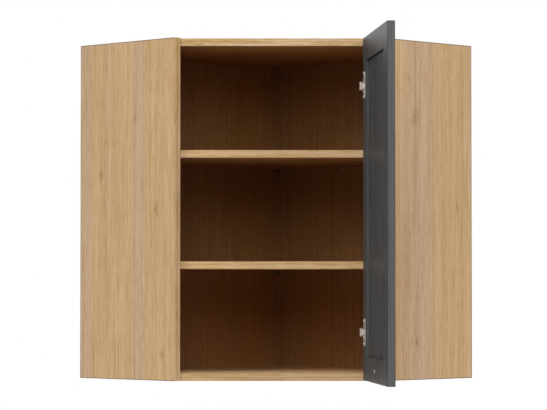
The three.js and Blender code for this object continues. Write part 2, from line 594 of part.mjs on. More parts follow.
// The knob's profile as shares of its radius and of its projection: foot, neck, bowl and rounded face.
const knobProfile = [
  [0, 0], [0.55, 0], [0.55, 0.07], [0.38, 0.22], [0.38, 0.4], [0.8, 0.61], [1, 0.74], [1, 0.87],
  [0.85, 0.96], [0.5, 1], [0, 1],
].map(([radius, height]) => [radius * knobRadius, height * KNOB_PROJECTION]);
const knobSeat = DOOR_THICKNESS + GLUE_LINE;
const knobBody = turned(knobProfile, [knobU, knobSeat, KNOB_HEIGHT], [0, 1, 0], 32);
const knobBore = rod(
  KNOB_SCREW.shank / 2 + GLUE_LINE, KNOB_THREAD + GLUE_LINE + OVERSHOOT,
  [knobU, knobSeat - OVERSHOOT, KNOB_HEIGHT], [0, 1, 0], 16);
addPiece(leaf, 'knob', 'black_metal', cut(knobBody, [knobBore]));

const knobScrewLength = GLUE_LINE + knobSeat + KNOB_THREAD;
const knobScrewSeat = [knobU, -GLUE_LINE, KNOB_HEIGHT];
addPiece(leaf, 'knob_screw', 'zinc', screw(KNOB_SCREW, knobScrewLength, knobScrewSeat, [0, 1, 0]));

// ---------------------------------------------------------------- hinge cups

// The flange's outline on the door, drawn as [from the hinge edge, above the hinge's centre].
function flangeOutline() {
  const ring = CUP_DIAMETER / 2 + CUP_RIM;
  const [wingFront, wingRear] = [CUP_U - CUP_WING_FRONT, CUP_U + ring];
  const wingEnd = CUP_SCREW_SPACING / 2 + CUP_WING_END;
  const chamfer = CUP_WING_CHAMFER;
  const edgeAngle = Math.acos((CUP_U - CUP_EDGE) / ring);
  const wingAngle = Math.acos((CUP_U - wingFront) / ring);
  const shoulder = arc([CUP_U, 0], ring, Math.PI - edgeAngle, Math.PI - wingAngle, 5);
  const upper = [
    ...shoulder, [wingFront, wingEnd - chamfer], [wingFront + chamfer, wingEnd],
    [wingRear - chamfer, wingEnd], [wingRear, wingEnd - chamfer]];
  const lower = upper.map(([u, z]) => [u, -z]).reverse();
  return [...lower, ...upper];
}

function hingeCup(height) {
  const lip = -GLUE_LINE - CUP_FLANGE;
  const shellTop = lip + CUP_FLANGE / 10; // just under the flange's face
  const shell = rod(CUP_DIAMETER / 2, CUP_DEPTH - shellTop, [CUP_U, shellTop, height], [0, 1, 0], 48);
  const flange = prism(plan(flangeOutline().reverse()), 0, CUP_FLANGE);
  flange.rotateX(Math.PI / 2).translate(0, -GLUE_LINE, height);
  const hollowDepth = CUP_DEPTH - CUP_WALL - lip + OVERSHOOT;
  const mouth = [CUP_U, lip - OVERSHOOT, height];
  const hollow = rod(CUP_DIAMETER / 2 - CUP_WALL, hollowDepth, mouth, [0, 1, 0], 48);
  const screws = [-1, 1].map((sign) => {
    const z = height + sign * CUP_SCREW_SPACING / 2;
    const start = [cupScrewU, lip - OVERSHOOT, z];
    return rod(CUP_SCREW.shank / 2 + GLUE_LINE, CUP_FLANGE + 2 * OVERSHOOT, start, [0, 1, 0], 12);
  });
  const reach = CUP_DIAMETER / 2 - CUP_WALL / 2;
  const chord = Math.sqrt(reach ** 2 - (CUP_U - LINK_PIVOT_U) ** 2);
  const axle = rod(CUP_AXLE / 2, 2 * chord, [LINK_PIVOT_U, LINK_PIVOT_V, height - chord], [0, 0, 1], 16);
  return join([cut(join([shell, flange]), [hollow, ...screws]), axle]);
}

for (const [level, height] of Object.entries(cupHeights)) {
  addPiece(leaf, `${level}_hinge_cup`, 'nickel', hingeCup(height));
  for (const [end, sign] of [['top', 1], ['bottom', -1]]) {
    const z = height + sign * CUP_SCREW_SPACING / 2;
    const seat = -2 * GLUE_LINE - CUP_FLANGE;
    const length = CUP_SCREW_GRIP - seat;
    const body = screw(CUP_SCREW, length, [cupScrewU, seat, z], [0, 1, 0]);
    addPiece(leaf, `${level}_hinge_cup_screw_${end}`, 'nickel', body);
  }
}

// ---------------------------------------------------------------- hinge links

// Each link runs from the arm's pin to the cup's axle. It is drawn in its own coordinates, from its pivot
// on the arm along x to the axle, where the door stands open, and is bowed to pass the cup's rim.
// A real link is pinned at both ends. This one has a slot round the cup's axle.
const turnedPoint = ([x, y], angle) => new THREE.Vector2(x, y).rotateAround(new THREE.Vector2(), angle);
const armPivotInRow = turnedPoint(onSidePanel(...armPivot), carcass.rotation.z);
const leafOrigin = turnedPoint([POLE_U, POLE_V], OPEN_ANGLE).add(POLE);
const axleInRow = turnedPoint([LINK_PIVOT_U, LINK_PIVOT_V], OPEN_ANGLE + leaf.rotation.z).add(leafOrigin);
const linkVector = axleInRow.clone().sub(armPivotInRow);
const linkLength = linkVector.length();

function bowedStrip() {
  const steps = 10;
  const side = (offset) => Array.from({ length: steps + 1 }, (_, step) => {
    const along = step / steps;
    return [along * linkLength, offset - LINK_BOW * Math.sin(Math.PI * along)];
  });
  return [...side(-LINK_METAL / 2), ...side(LINK_METAL / 2).reverse()];
}

function hingeLink(centre) {
  const tipHalf = LINK_TIP_HEIGHT / 2;
  const rootHalf = ARM_WIDTH / 2 - ARM_METAL - PIN_PLAY;
  const strip = prism(plan(bowedStrip()), -tipHalf, tipHalf);
  const broad = prism(plan(bowedStrip().filter(([x]) => x < linkLength * LINK_BROAD)), -rootHalf, rootHalf);
  const rootEye = rod(LINK_ROOT_EYE, 2 * rootHalf, [0, 0, -rootHalf], [0, 0, 1]);
  const tip = (x, radius, half) => rod(radius, 2 * half, [x, 0, -half], [0, 0, 1]);
  const slotHalf = CUP_AXLE / 2 + SLOT_PLAY;
  const slotStart = linkLength - SLOT_BACK;
  const oval = (radius, half) => [
    tip(linkLength, radius, half), tip(slotStart, radius, half),
    box([slotStart, -radius, -half], [linkLength, radius, half])];
  const outer = join([strip, broad, rootEye, ...oval(LINK_EYE, tipHalf)]);
  const slot = oval(slotHalf, tipHalf + OVERSHOOT);
  const boreHalf = rootHalf + OVERSHOOT;
  const bore = rod(PIVOT_PIN / 2 + PIN_PLAY, 2 * boreHalf, [0, 0, -boreHalf], [0, 0, 1]);
  return cut(outer, [...slot, bore]);
}

const links = new THREE.Group();
for (const [level, centre] of Object.entries(HINGE_HEIGHTS)) {
  const link = addPiece(links, `${level}_hinge_link`, 'nickel', hingeLink(centre));
  link.position.set(armPivotInRow.x, armPivotInRow.y, centre);
  link.rotation.z = linkVector.angle();
}

// ---------------------------------------------------------------- the cabinet

const cabinet = new THREE.Group();
cabinet.add(carcass, doorPivot, links);

export default cabinet;
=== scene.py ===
"""A corner wall cabinet: the finishes and worked edges of its pieces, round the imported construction.

All places are in metres in the cabinet's own frame: +X right, +Y towards the room corner, +Z up.
The sections follow the order in which the cabinet is put together.
"""

import json
import math

import bmesh
import bpy
from mathutils import Matrix, Vector


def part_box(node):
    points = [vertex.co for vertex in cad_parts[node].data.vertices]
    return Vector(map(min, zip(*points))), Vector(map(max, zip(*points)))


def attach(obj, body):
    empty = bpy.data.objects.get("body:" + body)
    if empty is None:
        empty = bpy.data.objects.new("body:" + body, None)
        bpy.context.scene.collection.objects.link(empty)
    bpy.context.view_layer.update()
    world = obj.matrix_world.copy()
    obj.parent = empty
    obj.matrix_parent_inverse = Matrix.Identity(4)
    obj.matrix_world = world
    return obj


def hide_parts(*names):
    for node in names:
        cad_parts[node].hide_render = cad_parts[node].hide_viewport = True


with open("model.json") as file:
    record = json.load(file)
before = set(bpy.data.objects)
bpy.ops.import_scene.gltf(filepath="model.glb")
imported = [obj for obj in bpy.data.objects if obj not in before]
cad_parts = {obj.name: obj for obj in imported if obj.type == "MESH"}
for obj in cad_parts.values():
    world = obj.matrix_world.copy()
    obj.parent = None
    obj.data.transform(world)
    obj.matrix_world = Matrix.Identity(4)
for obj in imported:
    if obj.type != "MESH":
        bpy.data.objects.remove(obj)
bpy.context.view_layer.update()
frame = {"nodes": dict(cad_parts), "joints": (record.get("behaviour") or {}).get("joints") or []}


# ---------------------------------------------------------------- studio
# The cabinet hangs over a plain pale floor in a white room. Four large soft lamps stand high in front of it
# and two behind, and the white of the room fills the shadows. The camera stands 5.8 m from the door opening.

def linear(code):
    """An sRGB hex colour as linear red, green, blue and alpha."""
    shares = [int(code[start:start + 2], 16) / 255 for start in (1, 3, 5)]
    return tuple(
        share / 12.92 if share <= 0.04045 else ((share + 0.055) / 1.055) ** 2.4 for share in shares) + (1.0,)


def add(tree, kind, inputs=None, **settings):
    """Adds a node with its settings. inputs gives its sockets values, or the sockets that feed them."""
    made = tree.nodes.new(kind)
    for name, value in settings.items():
        setattr(made, name, value)
    for key, value in (inputs or {}).items():
        if isinstance(value, bpy.types.NodeSocket):
            tree.links.new(value, made.inputs[key])
        else:
            made.inputs[key].default_value = value
    return made


def new_material(name):
    """A new material with an empty node tree."""
    material = bpy.data.materials.new(name)
    material.use_nodes = True
    material.node_tree.nodes.clear()
    return material


scene = bpy.context.scene
scene.view_settings.view_transform = "Standard"

ROOM_FILL = 0.24  # the room's light on the cabinet, against the white that the camera sees
room = bpy.data.worlds.new("white_room")
room.use_nodes = True
scene.world = room
room_tree = room.node_tree
room_tree.nodes.clear()
ray = add(room_tree, "ShaderNodeLightPath").outputs
seen_or_mirrored = add(room_tree, "ShaderNodeMath", {
    0: ray["Is Camera Ray"], 1: ray["Is Glossy Ray"]}, operation="MAXIMUM").outputs[0]
seen = add(room_tree, "ShaderNodeMath", {
    0: seen_or_mirrored, 1: ray["Is Transmission Ray"]}, operation="MAXIMUM").outputs[0]
strength = add(room_tree, "ShaderNodeMapRange", {
    "Value": seen, "To Min": ROOM_FILL, "To Max": 1.0}).outputs[0]
white = add(room_tree, "ShaderNodeBackground", {"Color": (1, 1, 1, 1), "Strength": strength}).outputs[0]
add(room_tree, "ShaderNodeOutputWorld", {"Surface": white})

FLOOR_MIDDLE = (0, -0.4, -0.4)
FLOOR_RADIUS = 3.0
FLOOR_SOLID = 0.8  # the radius at which its paint starts to thin out
FLOOR_CLEAR = 2.8  # and the radius at which it is gone
floor_mesh = bpy.data.meshes.new("studio_floor")
floor_form = bmesh.new()
bmesh.ops.create_circle(
    floor_form, cap_ends=True, radius=FLOOR_RADIUS, segments=96, matrix=Matrix.Translation(FLOOR_MIDDLE))
floor_form.to_mesh(floor_mesh)
floor_form.free()
studio_floor = bpy.data.objects.new("studio_floor", floor_mesh)
scene.collection.objects.link(studio_floor)

# Matt white floor paint. It thins out towards the rim, so that the floor runs into the white room.
floor_paint = new_material("matt_white_floor_paint")
tree = floor_paint.node_tree
spot = add(tree, "ShaderNodeTexCoord").outputs["Object"]
from_middle = add(tree, "ShaderNodeVectorMath", {0: spot, 1: FLOOR_MIDDLE}, operation="DISTANCE")
thinned = add(tree, "ShaderNodeMapRange", {
    "Value": from_middle.outputs["Value"], "From Min": FLOOR_SOLID, "From Max": FLOOR_CLEAR},
    interpolation_type="SMOOTHSTEP").outputs[0]
paint = add(tree, "ShaderNodeBsdfPrincipled", {
    "Base Color": linear("#E6E6E5"), "Roughness": 0.9, "Specular IOR Level": 0.2}).outputs[0]
nothing = add(tree, "ShaderNodeBsdfTransparent").outputs[0]
mixed = add(tree, "ShaderNodeMixShader", {0: thinned, 1: paint, 2: nothing}).outputs[0]
add(tree, "ShaderNodeOutputMaterial", {"Surface": mixed})
floor_mesh.materials.append(floor_paint)

LAMP_AIM = Vector((0, -0.55, 0.36))  # the middle of the door opening
LAMPS = {  # place, width in metres and power in watts
    "front_left_lamp": ((-3.5, -4.5, 2.8), 2.2, 89),
    "front_right_lamp": ((3.5, -4.5, 2.8), 2.2, 94),
    "front_lamp": ((0, -6.6, 2.3), 2.6, 92),
    "high_lamp": ((0, -3.2, 3.6), 1.8, 66),
    "rear_left_lamp": ((-3.2, 3.4, 1.3), 2.0, 110),
    "rear_right_lamp": ((3.2, 3.4, 1.3), 2.0, 110),
}
for name, (place, width, power) in LAMPS.items():
    light = bpy.data.lights.new(name, "AREA")
    light.shape = "DISK"
    light.size = width
    light.energy = power
    lamp = bpy.data.objects.new(name, light)
    lamp.location = place
    lamp.visible_camera = False
    lamp.rotation_euler = (LAMP_AIM - Vector(place)).to_track_quat("-Z", "Y").to_euler()
    scene.collection.objects.link(lamp)

# The camera's place, tilt and lens are worked out from the photo's perspective.
CAMERA_PLACE = (-0.0056, -6.372, 0.1962)
CAMERA_LENS = 180.5  # millimetres, on a sensor 36 mm wide
CAMERA_TILT = 1.717  # degrees upwards
camera_data = bpy.data.cameras.new("camera")
camera_data.sensor_width = 36.0
camera_data.lens = CAMERA_LENS
camera = bpy.data.objects.new("camera", camera_data)
camera.location = CAMERA_PLACE
camera.rotation_euler = (math.radians(90 + CAMERA_TILT), 0, 0)
scene.collection.objects.link(camera)
scene.camera = camera


# ---------------------------------------------------------------- side panels
# Two 16 mm particleboards, faced on both sides with melamine film in a pale oak decor, grain upright.
# They carry the whole cabinet: the top and bottom panels are dowelled and the back boards glued to them.

ALONG_LEFT_WALL = Vector((-1, -1, 0)).normalized()  # from the room corner
ALONG_RIGHT_WALL = Vector((1, -1, 0)).normalized()
BOARD_ARRIS = 0.0007  # a trimmed board's worn edge
DARK_EDGE_LINE = 0.0014  # the darker line drawn along it
SAME_PLACE = 0.00001  # points closer than this are one point
FLAT = math.radians(0.6)  # faces that meet at less than this are one flat face
SHARP = math.radians(40)  # and where they turn by more than this, the edge is rounded


def worked_copy(node, sort=None, arris=BOARD_ARRIS, segments=2, worn=None, fold=-1, line=0.0, where=None):
    """The CAD node's mesh with its loose triangles joined, flats made whole and outer edges rounded.
    sort gives a face's material index, and worn tells which edges are rounded. The rounded edges, and a line
    of the width that line gives round the outer face, get the material index fold, or keep theirs where it
    is -1. where limits that to some of the faces."""
    form = bmesh.new()
    form.from_mesh(frame["nodes"][node].data)
    bmesh.ops.remove_doubles(form, verts=form.verts, dist=SAME_PLACE)
    bmesh.ops.dissolve_limit(form, angle_limit=FLAT, verts=form.verts, edges=form.edges)
    if sort:
        for face in form.faces:
            face.material_index = sort(face)
    if line:
        outer = [face for face in form.faces if face.material_index == 0]
        made = bmesh.ops.inset_region(
            form, faces=outer, thickness=line, use_boundary=True, use_even_offset=True)
        for face in made["faces"]:
            face.material_index = fold
    sharp = [
        edge for edge in form.edges
        if edge.is_manifold and edge.is_convex and edge.calc_face_angle() > SHARP
        and (worn is None or worn(edge))]
    bmesh.ops.bevel(
        form, geom=sharp, offset=arris, offset_type="OFFSET", segments=segments, profile=0.5,
        affect="EDGES", clamp_overlap=True, material=fold)
    for face in form.faces:
        if where and face.material_index == fold and not where(face):
            face.material_index = 0
    mesh = bpy.data.meshes.new(node)
    form.to_mesh(mesh)
    form.free()
    return mesh


def on_front(node, forward):
    """A test for the edges that lie in the node's front face, the way that forward points."""
    front = max(vertex.co.dot(forward) for vertex in frame["nodes"][node].data.vertices)
    return lambda edge: all(front - vertex.co.dot(forward) < SAME_PLACE for vertex in edge.verts)


def off_front(node, forward):
    """A test for a board's edges, apart from those that its edging covers and keeps square."""
    covered = on_front(node, forward)
    return lambda edge: not covered(edge)


def finish_piece(name, mesh, materials, body, nodes):
    """Makes the piece from its mesh and finishes, hangs it on its body, and hides the CAD nodes it stands
    for.
    """
    piece = bpy.data.objects.new(name, mesh)
    scene.collection.objects.link(piece)
    for material in materials:
        mesh.materials.append(material)
    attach(piece, body)
    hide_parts(*nodes)


def cut_from(mesh, place):
    """Notes where in the decor the board was cut, so that no two boards show the same grain."""
    note = mesh.attributes.new("cut_from", "FLOAT_VECTOR", "POINT")
    note.data.foreach_set("vector", list(place) * len(mesh.vertices))


OUTER_FILM, INNER_FILM, CORE, DARK_EDGE, DRILLED, PAINTED_LIGHT_FILM = range(6)  # a board's finishes, in their order
LARGEST_DRILLED = 60e-6  # square metres of one side of a drilled hole
FACE_ON = 0.99  # the least cosine between the board's outward way and the normal of a filmed face
FACE_DEPTH = 0.0002  # how far such a face lies at most from the board's outermost point


def board_sort(node, outward, inner=INNER_FILM, core=CORE, drilled=DRILLED):
    """Material index by face: the film outside and inside, the bare core, and dark drilled holes."""
    depths = [vertex.co.dot(outward) for vertex in frame["nodes"][node].data.vertices]
    high, low = max(depths), min(depths)

    def index(face):
        depth = face.calc_center_median().dot(outward)
        if face.normal.dot(outward) > FACE_ON and high - depth < FACE_DEPTH:
            return OUTER_FILM
        if face.normal.dot(outward) < -FACE_ON and depth - low < FACE_DEPTH:
            return inner
        return drilled if face.calc_area() < LARGEST_DRILLED else core
    return index


# Melamine film printed with artisan oak: satin, with pores pressed in line with the print. The eye sees
# straight fine streaks, wide bands from straw to greyish pink, faint tall arches, and a few pippy knots in
# smoky grain.
STREAK = 0.0038  # the print's streaks are 1 to 3 mm wide: drawn 3.8 mm wide, as coarse as they need to show
PORE = 0.0036  # pores are 0.3 mm wide: drawn 3.6 mm wide
FIBRE = 0.0034  # and the fibres between them 3.4 mm wide
BANDS = 6.0  # bands in a metre across the grain
ARCHES = 5.5  # swells in a metre of the slow field whose levels are the growth rings
RING_PHASE = 150.0  # radians per unit of that field, so that the rings come 6 to 12 mm apart
BURRS = 330.0  # specks in a metre of a knot, 3 mm apart
KNOTS = [  # place on the side panels' outer faces, and size
    ((-0.3764, -0.4722, 0.4355), 0.0042), ((-0.3004, -0.5482, 0.5559), 0.0034),
    ((-0.2532, -0.5953, 0.3630), 0.0046), ((-0.2396, -0.6089, 0.0550), 0.0040),
    ((0.2957, -0.5528, 0.5577), 0.0056), ((0.3903, -0.4583, 0.3681), 0.0034),
    ((0.2983, -0.5502, 0.0779), 0.0040),
]
KNOT_SHAPE = (1, 1, 0.5)  # knots are twice as tall as wide
KNOT_CORE = 0.4  # reach of a knot's solid core, in sizes
KNOT_RIM = 2.2  # of its specks
KNOT_SMOKE = 3.2  # and of the smoky grain round it
KNOT_LIFT = 0.05  # how far it lifts the slow field, so that the rings part round it
ROSE_BANDS = [  # upright bands on the same faces: middle and half width
    ((-0.4172, -0.4313, 0.0), 0.040), ((-0.2927, -0.5558, 0.0), 0.024), ((0.3026, -0.5459, 0.0), 0.060),
]
BAND_SWAY = 0.03  # how far the streaks push a band's border
GREYING = (0.88, 1.2, 2.1)  # the print's shading works less on red and more on blue
FIRST_COLOUR, SECOND_COLOUR, MIXED_COLOUR = 6, 7, 2  # two inputs and the output of a Mix node set to RGBA


def oak_film(name, straw, rose, grain, knots=(), rose_bands=(), roughness=0.56, contrast=1.0):
    """Printed oak decor. grain is the board's grain axis: 0 for boards that lie, 2 for boards that stand."""
    material = new_material(name)
    tree = material.node_tree
    place = add(tree, "ShaderNodeTexCoord").outputs["Object"]
    start = add(tree, "ShaderNodeAttribute", attribute_name="cut_from").outputs["Vector"]
    print_place = add(tree, "ShaderNodeVectorMath", {0: place, 1: start}, operation="ADD").outputs[0]

    def pattern(share, scale, detail=2.0, rough=0.55, distortion=0.0):
        """Noise in the print's place, drawn out along the grain: share is its width against its length."""
        shorten = [1.0, 1.0, 1.0]
        shorten[grain] = share
        drawn = add(tree, "ShaderNodeVectorMath", {0: print_place, 1: shorten}, operation="MULTIPLY")
        return add(tree, "ShaderNodeTexNoise", {
            "Vector": drawn.outputs[0], "Scale": scale, "Detail": detail, "Roughness": rough,
            "Distortion": distortion}).outputs[0]

    def distance(centre, shape):
        """How far a point is from the centre, along the axes that shape keeps."""
        away = add(tree, "ShaderNodeVectorMath", {0: place, 1: centre}, operation="SUBTRACT").outputs[0]
        away = add(tree, "ShaderNodeVectorMath", {0: away, 1: shape}, operation="MULTIPLY").outputs[0]
        return add(tree, "ShaderNodeVectorMath", {0: away}, operation="LENGTH").outputs["Value"]

    bands = pattern(0.05, BANDS)
    field = pattern(0.07, ARCHES, 1.5, 0.4, 0.3)
    long_streaks = pattern(0.004, 1 / STREAK)
    short_streaks = pattern(0.028, 1 / STREAK)
    wide_streaks = pattern(0.015, 0.3 / STREAK)
    pores = pattern(0.06, 1 / PORE, 2.0, 0.7)
    fibres = pattern(0.14, 1 / FIBRE)
    burrs = pattern(0.5, BURRS, 1.0)
    knotty = 0.0
    smoky = 0.0
    for centre, size in knots:
        away = distance(centre, KNOT_SHAPE)
        near = add(tree, "ShaderNodeMapRange", {
            "Value": away, "From Max": KNOT_SMOKE * size, "To Min": 1.0, "To Max": 0.0},
            interpolation_type="SMOOTHERSTEP").outputs[0]
        field = add(tree, "ShaderNodeMath", {
            0: near, 1: KNOT_LIFT, 2: field}, operation="MULTIPLY_ADD").outputs[0]
        smoky = add(tree, "ShaderNodeMath", {0: near, 1: smoky}, operation="MAXIMUM").outputs[0]
        eye = add(tree, "ShaderNodeMapRange", {
            "Value": away, "From Min": KNOT_CORE * size, "From Max": KNOT_RIM * size, "To Min": 1.0,
            "To Max": 0.0}, interpolation_type="SMOOTHSTEP").outputs[0]
        knotty = add(tree, "ShaderNodeMath", {0: eye, 1: knotty}, operation="MAXIMUM").outputs[0]
    turns = add(tree, "ShaderNodeMath", {0: field, 1: RING_PHASE}, operation="MULTIPLY").outputs[0]
    turns = add(tree, "ShaderNodeMath", {
        0: long_streaks, 1: 4.0, 2: turns}, operation="MULTIPLY_ADD").outputs[0]
    wave = add(tree, "ShaderNodeMath", {0: turns}, operation="SINE").outputs[0]
    rings = add(tree, "ShaderNodeMapRange", {
        "Value": wave, "From Min": -0.5, "From Max": 1.0}, interpolation_type="SMOOTHSTEP").outputs[0]
    pores = add(tree, "ShaderNodeMapRange", {
        "Value": pores, "From Min": 0.5, "From Max": 0.72}, interpolation_type="SMOOTHSTEP").outputs[0]
    burrs = add(tree, "ShaderNodeMapRange", {
        "Value": burrs, "From Min": 0.5, "From Max": 0.62}, interpolation_type="SMOOTHSTEP").outputs[0]

    band_share = add(tree, "ShaderNodeMapRange", {
        "Value": bands, "From Min": 0.34, "From Max": 0.66}).outputs[0]
    if rose_bands:  # the chance bands are faint between those that have a place
        band_share = add(tree, "ShaderNodeMath", {
            0: band_share, 1: 0.3, 2: 0.2}, operation="MULTIPLY_ADD").outputs[0]
    for middle, half_width in rose_bands:
        away = distance(middle, (1, 1, 0))
        away = add(tree, "ShaderNodeMath", {
            0: wide_streaks, 1: BAND_SWAY, 2: away}, operation="MULTIPLY_ADD").outputs[0]
        banded = add(tree, "ShaderNodeMapRange", {
            "Value": away, "From Min": BAND_SWAY / 2 + 0.2 * half_width,
            "From Max": BAND_SWAY / 2 + 1.8 * half_width, "To Min": 0.85, "To Max": 0.0},
            interpolation_type="SMOOTHSTEP").outputs[0]
        band_share = add(tree, "ShaderNodeMath", {0: banded, 1: band_share}, operation="MAXIMUM").outputs[0]
    ground = add(tree, "ShaderNodeMix", {
        "Factor": band_share, FIRST_COLOUR: linear(straw), SECOND_COLOUR: linear(rose)},
        data_type="RGBA").outputs[MIXED_COLOUR]
    shading = [
        (long_streaks, 0.36), (short_streaks, 0.32), (wide_streaks, 0.16), (rings, -0.05), (fibres, 0.34),
        (pores, -0.12)]
    if knots:
        smoke = add(tree, "ShaderNodeMath", {0: smoky, 1: short_streaks}, operation="MULTIPLY").outputs[0]
        shading.append((smoke, -0.22))
    shade = -0.6  # takes off the marks' mean, so that the ground keeps its tone
    for mark, share in shading:
        shade = add(tree, "ShaderNodeMath", {
            0: mark, 1: share, 2: shade}, operation="MULTIPLY_ADD").outputs[0]
    greyer = [value * share * contrast for value, share in zip(linear(straw), GREYING)]
    colour = add(tree, "ShaderNodeVectorMath", {
        0: shade, 1: greyer, 2: ground}, operation="MULTIPLY_ADD").outputs[0]
    if knots:
        burr_share = add(tree, "ShaderNodeMath", {0: burrs, 1: knotty}, operation="MULTIPLY").outputs[0]
        burr_share = add(tree, "ShaderNodeMath", {0: burr_share, 1: 0.6}, operation="MULTIPLY").outputs[0]
        colour = add(tree, "ShaderNodeMix", {
            "Factor": burr_share, FIRST_COLOUR: colour, SECOND_COLOUR: linear("#765636")},
            data_type="RGBA").outputs[MIXED_COLOUR]

    dull = add(tree, "ShaderNodeMapRange", {
        "Value": pores, "To Min": roughness, "To Max": roughness + 0.16}).outputs[0]
    relief = add(tree, "ShaderNodeMath", {
        0: long_streaks, 1: 0.6, 2: pores}, operation="MULTIPLY_ADD").outputs[0]
    bump = add(tree, "ShaderNodeBump", {
        "Height": relief, "Strength": 0.25, "Distance": 0.00012}, invert=True).outputs[0]
    film = add(tree, "ShaderNodeBsdfPrincipled", {
        "Base Color": colour, "Roughness": dull, "Specular IOR Level": 0.22, "Normal": bump}).outputs[0]
    add(tree, "ShaderNodeOutputMaterial", {"Surface": film})
    return material


oak_standing = oak_film("oak_melamine_film_upright", "#CDA877", "#C4A789", 2, KNOTS, ROSE_BANDS)
# The film of the inner faces has the same print on a deeper ground, painted shade as brown as the inside
# looks in shade.
shade_painted_standing = oak_film("shade_painted_oak_film_upright", "#B07C48", "#A7794F", 2, roughness=0.55)


CHIP = 0.0022  # chips are 1 to 4 mm long
CLUMP = 0.00625  # and lie in paler and darker clumps, 6 mm wide


def pressed_chips(name, dark, pale):
    """Pressed chips in resin, in tones from dark to pale."""
    material = new_material(name)
    tree = material.node_tree
    place = add(tree, "ShaderNodeTexCoord").outputs["Object"]
    chips = add(tree, "ShaderNodeTexVoronoi", {"Vector": place, "Scale": 1 / CHIP, "Randomness": 1.0})
    chip_tone = add(tree, "ShaderNodeSeparateColor", {0: chips.outputs["Color"]}).outputs[0]
    clumps = add(tree, "ShaderNodeTexNoise", {"Vector": place, "Scale": 1 / CLUMP, "Detail": 3.0}).outputs[0]
    tone = add(tree, "ShaderNodeMath", {0: chip_tone, 1: clumps}, operation="MULTIPLY").outputs[0]
    tone = add(tree, "ShaderNodeMapRange", {"Value": tone, "From Min": 0.08, "From Max": 0.5}).outputs[0]
    colour = add(tree, "ShaderNodeMix", {
        "Factor": tone, FIRST_COLOUR: linear(dark), SECOND_COLOUR: linear(pale)},
        data_type="RGBA").outputs[MIXED_COLOUR]
    relief = add(tree, "ShaderNodeBump", {
        "Height": chips.outputs["Distance"], "Strength": 0.6, "Distance": 0.0004}, invert=True).outputs[0]
    raw = add(tree, "ShaderNodeBsdfPrincipled", {
        "Base Color": colour, "Roughness": 0.88, "Specular IOR Level": 0.25, "Normal": relief}).outputs[0]
    add(tree, "ShaderNodeOutputMaterial", {"Surface": raw})
    return material


# Where a board is cut and not edged, its core shows: chips from straw to brown, dull and rough. Along the
# film's edges a thin darker brown line is drawn, and a drilled hole is painted dark: painted shade.
particleboard = pressed_chips("raw_particleboard", "#8A6A45", "#C9AC7F")
dark_edge_chips = pressed_chips("dark_film_edge_line", "#54452F", "#75624A")
shaded_hole_core = pressed_chips("shade_painted_drilled_particleboard", "#2A1D12", "#46321F")

STANDING = [oak_standing, shade_painted_standing, particleboard, dark_edge_chips, shaded_hole_core]


EDGED_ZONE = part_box("left_side_panel")[0][1] + 0.0035  # the side panels' front 3.5 mm, where the edging is


def behind_edging(face):
    """Faces behind the edging, where the darker line along the film's edge shows."""
    return face.calc_center_median().y > EDGED_ZONE


for node, outward, forward, place in (
        ("left_side_panel", ALONG_LEFT_WALL, ALONG_RIGHT_WALL, (0.0, 0.0, 0.0)),
        ("right_side_panel", ALONG_RIGHT_WALL, ALONG_LEFT_WALL, (1.7, 0.4, 0.0))):
    board = worked_copy(
        node, board_sort(node, outward), worn=off_front(node, forward), fold=DARK_EDGE, line=DARK_EDGE_LINE,
        where=behind_edging)
    cut_from(board, place)
    finish_piece(f"{node}_board", board, STANDING, "carcass", [node])


# ---------------------------------------------------------------- dowels
# Beech dowels, 8 by 30 mm, glued 20 mm deep into the ends of the top and bottom panels and 10 mm deep into
# the side panels. They are inside the boards and are left as they are built.

# Planed beech: matt and evenly pinkish brown, with short darker flecks.
BEECH_RAY = 0.0025  # flecks, 2 to 3 mm long
beech = new_material("planed_beech")
tree = beech.node_tree
place = add(tree, "ShaderNodeTexCoord").outputs["Object"]
flecks = add(tree, "ShaderNodeTexNoise", {
    "Vector": place, "Scale": 1 / BEECH_RAY, "Detail": 4.0}).outputs[0]
fleck_share = add(tree, "ShaderNodeMapRange", {
    "Value": flecks, "From Min": 0.45, "From Max": 0.65}).outputs[0]
wood = add(tree, "ShaderNodeMix", {
    "Factor": fleck_share, FIRST_COLOUR: linear("#CFA878"), SECOND_COLOUR: linear("#B4875A")},
    data_type="RGBA").outputs[MIXED_COLOUR]
planed = add(tree, "ShaderNodeBump", {"Height": flecks, "Strength": 0.2, "Distance": 0.0002}).outputs[0]
stick = add(tree, "ShaderNodeBsdfPrincipled", {
    "Base Color": wood, "Roughness": 0.7, "Normal": planed}).outputs[0]
add(tree, "ShaderNodeOutputMaterial", {"Surface": stick})
for name, part in frame["nodes"].items():
    if name.startswith("dowel_"):
        part.data.materials.clear()
        part.data.materials.append(beech)


# ---------------------------------------------------------------- top and bottom panels
# Five-sided boards that lie between the side panels, faced with the same film, grain from side to side.
# Their front edges, over and under the door opening, are edged, and their other edges are bare.

oak_lying = oak_film("oak_melamine_film_level", "#CCA674", "#C0A283", 0)
# The boards that lie take the same deeper ground on their inner faces: painted shade.
shade_painted_lying = oak_film("shade_painted_oak_film_level", "#AB7741", "#A2744A", 0)
